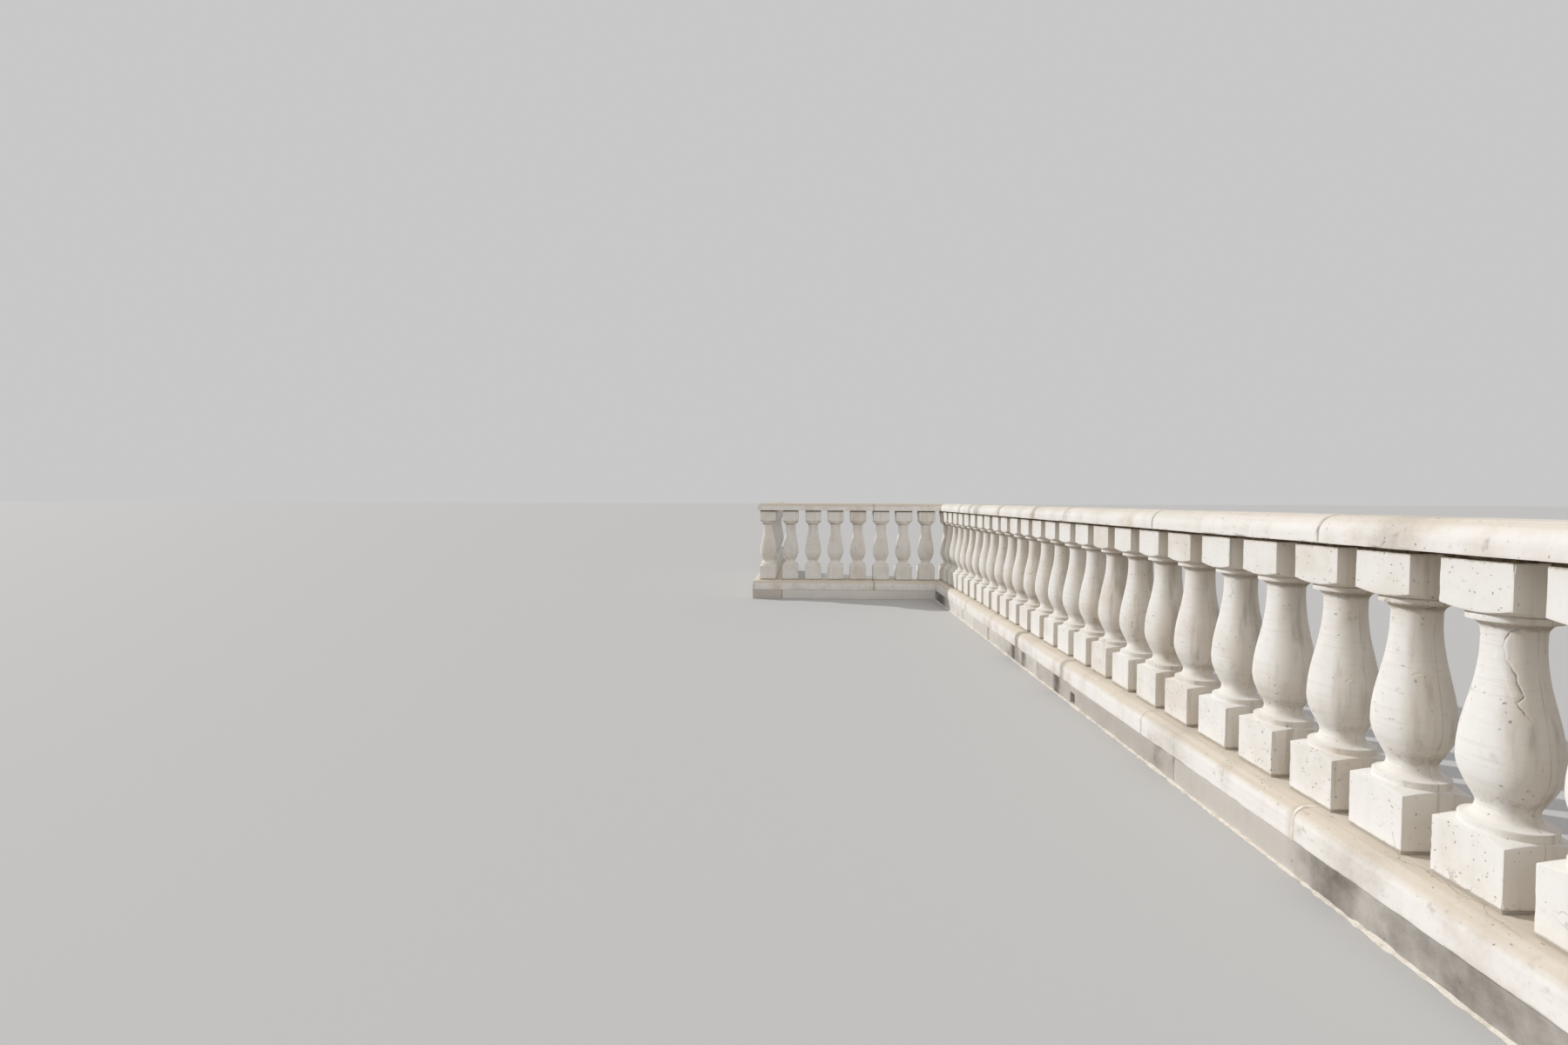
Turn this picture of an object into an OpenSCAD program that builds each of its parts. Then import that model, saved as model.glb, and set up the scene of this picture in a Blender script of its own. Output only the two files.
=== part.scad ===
// Stone balustrade of a terrace: a long run, a short return across its end and a back run.
// Every run is built the same way, from the ground up: a low kerb, a wide sill with rounded
// top edges, turned balusters with a square block at foot and head, and a rounded coping.
// Millimetres, +Z up. The origin is on the ground at the outer turn, where the centre lines
// of the long run and the return cross. The long run goes to -Y, the return to -X and the
// back run to +Y.

/* [Layout] */
// Distance between the centres of neighbouring balusters
spacing = 254; // [240:1:270]
// Balusters in the return, without the one at the first turn
return_count = 8; // [6:1:12]
// Distance from the first turn to the joint between the two stones of the return
return_joint = 847; // [600:1:1400]
// Length of one whole stone of the sill or the coping in the back run
stone_length = 946; // [800:1:1100]
// Length of the back run's stone at the turn
turn_stone_length = 1161; // [1000:1:1400]
// Least distance from the last baluster's block to the cut end of a run
end_clearance = 60; // [20:1:120]

/* [Sill stones of the long run] */
// Length of the stone at the turn
sill_length_1 = 1570; // [1400:1:1800]
// Length of the second stone
sill_length_2 = 880; // [700:1:1100]
// Length of the third stone
sill_length_3 = 700; // [600:1:900]
// Length of the fourth stone
sill_length_4 = 847; // [700:1:1100]
// Length of the fifth stone
sill_length_5 = 949; // [800:1:1100]
// Length of the sixth stone
sill_length_6 = 944; // [800:1:1100]
// Length of the seventh stone, at the cut end
sill_length_7 = 947; // [800:1:1100]

/* [Coping stones of the long run] */
// Length of the stone at the turn
coping_length_1 = 1650; // [1400:1:1800]
// Length of the second stone
coping_length_2 = 807; // [700:1:1000]
// Length of the third stone
coping_length_3 = 843; // [700:1:1000]
// Length of the fourth stone
coping_length_4 = 538; // [400:1:700]
// Length of the fifth stone
coping_length_5 = 1058; // [900:1:1200]
// Length of the sixth stone
coping_length_6 = 989; // [800:1:1100]

/* [Kerb] */
// Height of the kerb above the ground
kerb_height = 100; // [80:1:130]
// Length of one whole stone of the kerb
kerb_length = 1641; // [1400:1:1800]
// Distance from a turn to the first joint in the kerb
kerb_turn_length = 1939; // [1700:1:2200]
// Distance from the first turn to the middle of the weep hole in the kerb
weep_place = 4167; // [3500:1:5000]
// Length of the weep hole along the kerb
weep_length = 60; // [40:1:90]
// Height of the weep hole
weep_height = 54; // [30:1:60]
// Height of the weep hole's floor above the ground
weep_floor = 12; // [8:1:18]

/* [Sill] */
// Height of the sill
sill_height = 105; // [90:1:130]
// How far the sill stands out from the faces of the balusters' blocks
sill_projection = 75; // [60:1:95]
// Radius of the sill's rounded top edges
sill_round = 47; // [30:1:55]

/* [Coping] */
// Height of the coping
coping_height = 84; // [75:1:100]
// How far the coping stands out from the faces of the balusters' blocks
coping_projection = 21; // [15:1:35]
// Radius of the coping's rounded top edges
coping_round = 57; // [40:1:65]

/* [Baluster blocks] */
// Width of the square blocks
block_width = 178; // [172:1:186]
// Height of the plinth block at the foot, where the shaft stands on it
plinth_height = 157; // [140:1:170]
// Height of the abacus block at the head, where it lies on the shaft
abacus_height = 117; // [100:1:130]
// How far the turned face of a block falls away from the shaft to the block's corners
block_fall = 13; // [6:1:20]
// Thickness of the mortar bed under and over each baluster
bed_thickness = 8; // [5:1:12]
// How far the mortar is raked back from the faces of the blocks
bed_recess = 4; // [2:1:8]

/* [Turned shaft] */
// Height of the turned shaft between the two blocks
shaft_height = 488; // [478:1:510]
// Radius of the round disc at the foot
foot_radius = 84; // [80:0.5:85]
// Height of the disc at the foot
foot_height = 19; // [15:1:24]
// Radius of the disc's rounded nose
foot_nose = 5; // [3:1:7]
// Radius of the lower neck, above the flare
lower_neck_radius = 54.5; // [50:0.5:60]
// Height of the lower neck above the plinth
lower_neck_level = 47; // [42:1:54]
// Radius of the belly at its widest
belly_radius = 90; // [84:0.5:100]
// Height of the belly's widest ring above the plinth
belly_level = 153; // [145:1:175]
// Radius of the upper neck, under the flare of the head
upper_neck_radius = 54.5; // [48:0.5:60]
// Height of the upper neck above the plinth
upper_neck_level = 430; // [420:1:440]
// Height of the flare under the disc of the head
flare_height = 26; // [18:1:30]
// Radius of the disc under the abacus
head_radius = 81; // [76:0.5:84]
// Height of the disc under the abacus
head_height = 15; // [10:1:17]
// How far the flare under the head stops short of the disc's face
head_step = 1.5; // [1:0.5:5]
// Depth of the small groove between the disc and the abacus
quirk_depth = 4; // [2:0.5:6]
// Height of that groove
quirk_height = 2; // [1:0.5:6]

/* [Hidden] */
stone_colour = [0.88, 0.85, 0.79];
kerb_colour = [0.66, 0.63, 0.59];
// Where the stones of each run end, measured along its centre line from its first turn
sill_ends = running_sum([sill_length_1, sill_length_2, sill_length_3, sill_length_4,
    sill_length_5, sill_length_6, sill_length_7]);
long_length = sill_ends[7];
coping_ends = concat(running_sum([coping_length_1, coping_length_2, coping_length_3,
    coping_length_4, coping_length_5, coping_length_6]), long_length);
back_ends = running_sum([turn_stone_length, stone_length, stone_length]);
back_length = back_ends[3];
return_length = return_count * spacing;
// Widths of the courses
sill_width = block_width + 2 * sill_projection;
coping_width = block_width + 2 * coping_projection;
// Levels of the courses above the ground
sill_level = kerb_height;
bed_level = sill_level + sill_height;
plinth_level = bed_level + bed_thickness;
shaft_level = plinth_level + plinth_height;
abacus_level = shaft_level + shaft_height;
upper_bed_level = abacus_level + abacus_height;
coping_level = upper_bed_level + bed_thickness;
// Steps along each rounded edge, and sides of the turned work
round_steps = 7;
turned_sides = 96;
// The turned shaft is set this far into each block
root = 10;
// Slope of the turned face of a block, and the level it would reach at the shaft's axis
face_slope = block_fall / (block_width * sqrt(2) / 2 - foot_radius);
face_rise = face_slope * foot_radius;
// Angle of a mitred end to a square one, and how far each cut moves along the run for a
// step across it
mitre_angle = 45;
mitre = tan(mitre_angle);
square_cut = 0;
// Slack on cutting shapes, so that none ends flush with what it cuts
slack = 20;

// Points of an ellipse's arc about [x, y], from angle a to angle b
function arc(x, y, rx, ry, a, b, steps) =
    [for (i = [0:steps]) let (t = a + (b - a) * i / steps) [x + rx * cos(t), y + ry * sin(t)]];

function without_first(points) = [for (i = [1:len(points) - 1]) points[i]];

// Points of a cubic curve from p to q, with handles pc and qc, without its first point
function curve(p, pc, qc, q, steps) =
    [for (i = [1:steps]) let (t = i / steps, u = 1 - t)
        u * u * u * p + 3 * u * u * t * pc + 3 * u * t * t * qc + t * t * t * q];

// Nought, and then the sum of the first numbers of a list, for each number in it
function running_sum(list, i = 0, sum = 0) =
    concat(sum, i < len(list) ? running_sum(list, i + 1, sum + list[i]) : []);

// Where kerb stone i ends. The kerb starts at the outside of the turn and ends with the sill.
function kerb_end(i, run_length) =
    i == 0 ? -sill_width / 2 : min(run_length, kerb_turn_length + (i - 1) * kerb_length);

// First baluster at or beyond a place in a run, and last one before a place
function first_from(place) = ceil(place / spacing);

function last_before(place) = ceil(place / spacing) - 1;

// The last baluster of a run stands clear of the cut end
function last_place(run_length) = run_length - end_clearance - block_width / 2;

// Half outline of the turned shaft, as [radius, height above the plinth]
function shaft_outline() = concat(
    [[0, -root], [foot_radius, -root]],
    arc(foot_radius - foot_nose, foot_height - foot_nose, foot_nose, foot_nose, 0, 90, 4),
    // The flare at the foot sweeps in to the lower neck
    without_first(arc(foot_radius - foot_nose, lower_neck_level,
        foot_radius - foot_nose - lower_neck_radius, lower_neck_level - foot_height,
        -90, -180, 6)),
    // The pear-shaped belly, widest low down
    curve([lower_neck_radius, lower_neck_level],
        [lower_neck_radius, lower_neck_level + 0.15 * (belly_level - lower_neck_level)],
        [belly_radius, belly_level - 0.47 * (belly_level - lower_neck_level)],
        [belly_radius, belly_level], 7),
    curve([belly_radius, belly_level],
        [belly_radius, belly_level + 0.36 * (upper_neck_level - belly_level)],
        [upper_neck_radius, upper_neck_level - 0.42 * (upper_neck_level - belly_level)],
        [upper_neck_radius, upper_neck_level], 11),
    // The flare under the head, and the disc that carries the abacus
    arc(head_radius - head_step, head_level() - flare_height,
        head_radius - head_step - upper_neck_radius, flare_height, 180, 90, 7),
    [[head_radius, head_level()], [head_radius, shaft_height - quirk_height],
        [head_radius - quirk_depth, shaft_height - quirk_height],
        [head_radius - quirk_depth, shaft_height + root], [0, shaft_height + root]]);

function head_level() = shaft_height - quirk_height - head_height;

// Cross-section of a sill or coping stone: square below, rounded along both top edges
module rail_section(width, height, round) {
    right = arc(width / 2 - round, height - round, round, round, 0, 90, round_steps);
    left = arc(round - width / 2, height - round, round, round, 90, 180, round_steps);
    polygon(concat([[-width / 2, 0], [width / 2, 0]], right, left));
}

// Plan of a stone that lies from start to end, with the slope of the cut at each end
module stone_plan(width, start, end, start_slope, end_slope) {
    half = width / 2;
    polygon([[start - half * start_slope, -half], [end - half * end_slope, -half],
        [end + half * end_slope, half], [start + half * start_slope, half]]);
}

// A sill or coping stone along +X, cut square or mitred at its ends
module rail_stone(width, height, round, start, end, start_slope, end_slope) {
    intersection() {
        translate([start - width, 0, 0])
            rotate([90, 0, 90])
                linear_extrude(end - start + 2 * width)
                    rail_section(width, height, round);
        translate([0, 0, -slack])
            linear_extrude(height + 2 * slack)
                stone_plan(width + 2 * slack, start, end, start_slope, end_slope);
    }
}

// Square block whose top is turned with the shaft: a low cone that falls away from the
// foot of the shaft, so that each side ends in an arc and the corners are lowest
module block(height) {
    intersection() {
        translate([-block_width / 2, -block_width / 2, 0])
            cube([block_width, block_width, height + face_rise]);
        rotate_extrude($fn = turned_sides)
            polygon([[0, -slack], [block_width, -slack],
                [block_width, height + face_rise - face_slope * block_width],
                [foot_radius, height], [0, height]]);
    }
}

// Mortar bed, raked back from the faces of the block
module bed() {
    side = block_width - 2 * bed_recess;
    translate([-side / 2, -side / 2, 0])
        cube([side, side, bed_thickness]);
}

// One baluster on its mortar beds, standing on the sill
module baluster() {
    translate([0, 0, bed_level])
        bed();
    translate([0, 0, plinth_level])
        block(plinth_height);
    translate([0, 0, shaft_level])
        rotate_extrude($fn = turned_sides)
            polygon(shaft_outline());
    translate([0, 0, upper_bed_level])
        mirror([0, 0, 1])
            block(abacus_height);
    translate([0, 0, upper_bed_level])
        bed();
}

// A group of balusters along +X, by their places in the run
module balusters(first, last) {
    color(stone_colour)
        for (i = [first:last])
            translate([i * spacing, 0, 0])
                baluster();
}

module sill(start, end, start_slope, end_slope) {
    color(stone_colour)
        translate([0, 0, sill_level])
            rail_stone(sill_width, sill_height, sill_round, start, end, start_slope, end_slope);
}

module coping(start, end, start_slope, end_slope) {
    color(stone_colour)
        translate([0, 0, coping_level])
            rail_stone(coping_width, coping_height, coping_round, start, end,
                start_slope, end_slope);
}

// A straight kerb stone along +X
module kerb(start, end) {
    color(kerb_colour)
        translate([start, -sill_width / 2, 0])
            cube([end - start, sill_width, kerb_height]);
}

// Places of the runs: each is drawn along +X and turned to its place
module on_long() {
    rotate([0, 0, -90])
        children();
}

module on_return() {
    rotate([0, 0, 180])
        children();
}

module on_back() {
    translate([-return_length, 0, 0])
        rotate([0, 0, 90])
            children();
}

// Stone i of a course whose joints are listed. The stone at the turn is mitred.
module run_sill(ends, i) {
    sill(ends[i - 1], ends[i], i == 1 ? -mitre : square_cut, square_cut);
}

module run_coping(ends, i) {
    coping(ends[i - 1], ends[i], i == 1 ? -mitre : square_cut, square_cut);
}

// Balusters that stand on sill stone i, from the given first one of the run
module run_balusters(ends, i, first) {
    last = last_before(min(ends[i], last_place(ends[len(ends) - 1])));
    balusters(max(first, first_from(ends[i - 1])), last);
}

module sill_long(i) {
    on_long() run_sill(sill_ends, i);
}

module sill_back(i) {
    on_back() run_sill(back_ends, i);
}

module coping_long(i) {
    on_long() run_coping(coping_ends, i);
}

module coping_back(i) {
    on_back() run_coping(back_ends, i);
}

// The baluster at the first turn belongs to the long run
module balusters_long(i) {
    on_long() run_balusters(sill_ends, i, 0);
}

module balusters_back(i) {
    on_back() run_balusters(back_ends, i, 1);
}

// The two stones of the return are mitred at the turns
module sill_return(i) {
    on_return()
        if (i == 1) sill(0, return_joint, mitre, square_cut);
        else sill(return_joint, return_length, square_cut, mitre);
}

module coping_return(i) {
    on_return()
        if (i == 1) coping(0, return_joint, mitre, square_cut);
        else coping(return_joint, return_length, square_cut, mitre);
}

// The baluster at the second turn belongs to the return
module balusters_return(i) {
    on_return()
        if (i == 1) balusters(1, last_before(return_joint));
        else balusters(first_from(return_joint), return_count);
}

// Kerbs of the long and the back run go through to the outside of the turn
module kerb_long(i) {
    start = kerb_end(i - 1, long_length);
    end = kerb_end(i, long_length);
    on_long()
        difference() {
            kerb(start, end);
            if (weep_place > start && weep_place < end) weep_hole();
        }
}

module kerb_back(i) {
    on_back() kerb(kerb_end(i - 1, back_length), kerb_end(i, back_length));
}

// The return's kerb fits between the other two
module kerb_return() {
    on_return()
        kerb(sill_width / 2, return_length - sill_width / 2);
}

// Drain through the kerb
module weep_hole() {
    translate([weep_place - weep_length / 2, -sill_width / 2 - slack, weep_floor])
        cube([weep_length, sill_width + 2 * slack, weep_height]);
}

kerb_long(1);  // kerb_long_1
kerb_long(2);  // kerb_long_2
kerb_long(3);  // kerb_long_3
kerb_long(4);  // kerb_long_4
kerb_return();
kerb_back(1);  // kerb_back_1
kerb_back(2);  // kerb_back_2
sill_long(1);  // sill_long_1
sill_long(2);  // sill_long_2
sill_long(3);  // sill_long_3
sill_long(4);  // sill_long_4
sill_long(5);  // sill_long_5
sill_long(6);  // sill_long_6
sill_long(7);  // sill_long_7
sill_return(1);  // sill_return_1
sill_return(2);  // sill_return_2
sill_back(1);  // sill_back_1
sill_back(2);  // sill_back_2
sill_back(3);  // sill_back_3
balusters_long(1);  // balusters_long_1
balusters_long(2);  // balusters_long_2
balusters_long(3);  // balusters_long_3
balusters_long(4);  // balusters_long_4
balusters_long(5);  // balusters_long_5
balusters_long(6);  // balusters_long_6
balusters_long(7);  // balusters_long_7
balusters_return(1);  // balusters_return_1
balusters_return(2);  // balusters_return_2
balusters_back(1);  // balusters_back_1
balusters_back(2);  // balusters_back_2
balusters_back(3);  // balusters_back_3
coping_long(1);  // coping_long_1
coping_long(2);  // coping_long_2
coping_long(3);  // coping_long_3
coping_long(4);  // coping_long_4
coping_long(5);  // coping_long_5
coping_long(6);  // coping_long_6
coping_long(7);  // coping_long_7
coping_return(1);  // coping_return_1
coping_return(2);  // coping_return_2
coping_back(1);  // coping_back_1
coping_back(2);  // coping_back_2
coping_back(3);  // coping_back_3
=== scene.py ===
# %% [markdown]
# # A stone balustrade that turns two corners
# The real thing is a terrace guard of cast stone: a plain kerb on the ground, a wide sill with
# rounded edges, turned balusters that each stand on a bed of mortar, and a rounded coping.
# It is rebuilt here around the CAD model, which fixes every size, so each piece only has to
# add what years of weather have given the stone: soft edges, chips, stains and open joints,
# with some painted shade among the stains.

# %% The frame
import math
import random

import bmesh
import bpy
from mathutils import Matrix, Vector, noise


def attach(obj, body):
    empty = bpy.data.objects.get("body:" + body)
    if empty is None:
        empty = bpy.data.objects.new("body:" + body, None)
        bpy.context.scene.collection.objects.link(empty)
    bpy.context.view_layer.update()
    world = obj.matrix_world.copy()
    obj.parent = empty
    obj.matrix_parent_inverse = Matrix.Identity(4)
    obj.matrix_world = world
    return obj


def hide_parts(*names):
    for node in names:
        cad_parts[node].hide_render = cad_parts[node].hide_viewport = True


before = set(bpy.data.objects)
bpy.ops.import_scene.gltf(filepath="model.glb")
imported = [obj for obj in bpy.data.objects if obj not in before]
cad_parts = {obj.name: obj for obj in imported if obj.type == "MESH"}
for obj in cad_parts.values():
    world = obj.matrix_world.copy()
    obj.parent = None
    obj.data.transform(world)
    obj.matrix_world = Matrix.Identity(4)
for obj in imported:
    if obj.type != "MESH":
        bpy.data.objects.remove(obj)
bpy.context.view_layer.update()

# %% [markdown]
# ## The camera
# The photographer stood on the terrace near the end of the long run and looked along it with
# a wide lens. The place and the turn of the camera were solved from measured points, so they
# are written as numbers: a yaw to the left, a slight pitch down and a hair of roll.

# %% Camera
CAMERA_PLACE = Vector((-1.6072, -7.9962, 1.1044))
YAW, PITCH, ROLL = (math.radians(a) for a in (1.759, -1.852, 0.2059))
SENSOR_WIDTH = 36.0
FOCAL_LENGTH, PICTURE_WIDTH = 810.32, 1800    # both in pixels of the photograph
LENS = FOCAL_LENGTH / PICTURE_WIDTH * SENSOR_WIDTH
FAR_AWAY = 200    # metres that the camera sees and the floor goes


def aim(yaw, pitch, roll):
    """Axes of a camera that looks along +Y before it is turned."""
    forward = Vector((-math.sin(yaw) * math.cos(pitch), math.cos(yaw) * math.cos(pitch),
                      math.sin(pitch)))
    level = Vector((math.cos(yaw), math.sin(yaw), 0))
    upright = level.cross(forward)
    right = level * math.cos(roll) + upright * math.sin(roll)
    return right, upright * math.cos(roll) - level * math.sin(roll), -forward


camera_data = bpy.data.cameras.new("camera")
camera_data.sensor_fit = "HORIZONTAL"
camera_data.sensor_width = SENSOR_WIDTH
camera_data.lens = LENS
camera_data.clip_end = FAR_AWAY
camera = bpy.data.objects.new("camera", camera_data)
camera.matrix_world = (Matrix.Translation(CAMERA_PLACE)
                       @ Matrix(aim(YAW, PITCH, ROLL)).transposed().to_4x4())
bpy.context.scene.collection.objects.link(camera)
bpy.context.scene.camera = camera
print("lens", round(LENS, 2), "mm")

# %% [markdown]
# ## Light
# In the photograph the light is low, from the left and slightly from the far side, and open
# sky behind the camera brightens what faces it. One lamp with fairly crisp shadows stands for
# the first and a very soft one for the second. The world fills the rest, and the levels are
# set so that a colour renders about as it is written and pale stone doesn't clip.


# %% Light
def lamp(name, place, height, strength, tint, softness):
    """A directional lamp from a place on the plan. Height and softness are in degrees."""
    height = math.radians(height)
    direction = Vector(place).to_3d().normalized() * math.cos(height)
    direction.z = math.sin(height)
    data = bpy.data.lights.new(name, "SUN")
    data.energy, data.color, data.angle = strength, tint, math.radians(softness)
    light = bpy.data.objects.new(name, data)
    light.rotation_euler = direction.to_track_quat("Z", "Y").to_euler()
    bpy.context.scene.collection.objects.link(light)
    print(name, "from", [round(c, 2) for c in direction])


lamp("key_lamp", place=(-0.906, 0.423), height=27.5, strength=2.22,
     tint=(1.0, 0.993, 0.98), softness=0.6)
lamp("soft_lamp", place=(-0.2, -1.0), height=16, strength=0.50,
     tint=(0.97, 0.985, 1.0), softness=45)
bpy.context.scene.view_settings.view_transform = "Standard"

# %% [markdown]
# ## Writing materials as sums
# A material in Blender is a graph of nodes. To keep the graphs readable, a small class wraps
# a socket and overloads the operators, so that `1 - mask * 0.5` adds the Math nodes for it.
# Every other node comes from one method, which takes its type, its settings and its sockets.


# %% Shader helpers
class Wire:
    """One output socket, with the sums that can be done on it."""

    def __init__(self, finish, socket):
        self.finish, self.socket = finish, socket

    def sum(self, operation, *values):
        return self.finish.node("ShaderNodeMath", {"operation": operation},
                                dict(enumerate(values)))

    def __add__(self, other):
        return self.sum("ADD", self, other)

    __radd__ = __add__

    def __sub__(self, other):
        return self.sum("SUBTRACT", self, other)

    def __rsub__(self, other):
        return self.sum("SUBTRACT", other, self)

    def __mul__(self, other):
        return self.sum("MULTIPLY", self, other)

    __rmul__ = __mul__

    def size(self):
        return self.sum("ABSOLUTE", self)

    def rise(self, low, high):
        """0 below low and 1 above high, with a smooth change between. Swap them to fall."""
        return self.finish.node("ShaderNodeMapRange", {"interpolation_type": "SMOOTHSTEP"},
                                {"Value": self, "From Min": low, "From Max": high})


class Finish:
    """One material, built up node by node."""

    def __init__(self, name):
        self.material = bpy.data.materials.new(name)
        self.material.use_nodes = True
        self.tree = self.material.node_tree
        self.tree.nodes.clear()
        self.place = self.node("ShaderNodeTexCoord", out="Object")
        self.local = self.node("ShaderNodeAttribute", {"attribute_name": "local"}, out="Vector")

    def node(self, kind, settings=None, inputs=None, out=0):
        node = self.tree.nodes.new(kind)
        for name, value in (settings or {}).items():
            setattr(node, name, value)
        for key, value in (inputs or {}).items():
            if isinstance(value, Wire):
                self.tree.links.new(value.socket, node.inputs[key])
            else:
                node.inputs[key].default_value = value
        return Wire(self, node.outputs[out]) if node.outputs else None

    def attribute(self, name):
        return self.node("ShaderNodeAttribute", {"attribute_name": name}, out="Fac")

    def part(self, vector, axis):
        return self.node("ShaderNodeSeparateXYZ", inputs={0: vector}, out=axis)

    def stretch(self, vector, factors):
        return self.node("ShaderNodeVectorMath", {"operation": "MULTIPLY"},
                         {0: vector, 1: factors})

    def cloud(self, scale, detail, vector=None, roughness=0.55):
        """Noise. Its patches are about 1 / scale metres wide."""
        return self.node("ShaderNodeTexNoise", inputs={
            "Vector": vector or self.place, "Scale": scale, "Detail": detail,
            "Roughness": roughness}, out="Fac")

    def wavy(self, scale, detail, reach):
        """The place in metres, pushed about by noise, so that a pattern in it isn't regular."""
        push = self.node("ShaderNodeTexNoise", inputs={
            "Vector": self.place, "Scale": scale, "Detail": detail}, out="Color")
        return self.node("ShaderNodeVectorMath", {"operation": "MULTIPLY_ADD"},
                         {0: push, 1: (reach, reach, reach), 2: self.place})

    def blend(self, factor, a, b):
        return self.node("ShaderNodeMix", {"data_type": "RGBA"},
                         {0: factor, 6: a, 7: b}, out=2)

    def surface(self, colour, roughness, height, depth):
        """Close the material with a bump, its depth in metres, and a shader that is rough
        and flat as stone is."""
        normal = self.node("ShaderNodeBump", inputs={
            "Strength": 1.0, "Distance": depth, "Height": height}, out="Normal")
        shader = self.node("ShaderNodeBsdfPrincipled", inputs={
            "Base Color": colour, "Roughness": roughness, "Normal": normal,
            "Specular IOR Level": 0.25, "Diffuse Roughness": 0.4})
        self.node("ShaderNodeOutputMaterial", inputs={"Surface": shader})
        return self.material


def rgb(r, g, b):
    """A colour from its 0 to 255 screen values, as the shader wants it."""
    def line(c):
        c /= 255
        return c / 12.92 if c <= 0.04045 else ((c + 0.055) / 1.055) ** 2.4
    return line(r), line(g), line(b), 1.0


print("shader helpers ready")

# %% [markdown]
# ## Cast stone
# Cast stone is white cement and crushed stone, tamped into moulds. On the real balustrade it
# is near white where rain washes it and warm cream on top, with small air holes, a few
# hairlines and long stains. Faces turned away from the lamp, towards -Y, are painted taupe,
# which is painted shade as well as grime, and faces turned down get painted shade. All of
# that is noise at several sizes, in metres, so that it holds its scale from any distance. Four
# values that the pieces keep on their vertices steer it: a tone for each stone, grime and
# painted shade on faces turned from the lamp, stains at joints with painted shade at the beds
# and under the head discs of the balusters, and cracks. Rails and balusters share the mix but
# not the marks: rails have streaks along them, balusters the seam of their mould and faint
# turning.

# %% Cast stone finish
WASHED, CREAM = rgb(247, 245, 241), rgb(234, 227, 216)
RAIL, RAIL_CREAM = rgb(250, 247, 243), rgb(225, 213, 196)
TAUPE, STAIN, HOLLOW_DARK = rgb(211, 199, 181), rgb(146, 134, 117), rgb(74, 66, 56)
LICHEN, ROSE, JOINT_STAIN_AND_SHADE = rgb(205, 204, 184), rgb(235, 222, 214), rgb(166, 154, 138)
SHAFT_MIDDLE, SHAFT_HALF = 0.614, 0.250    # the height of its middle, and just over half of it


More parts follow.
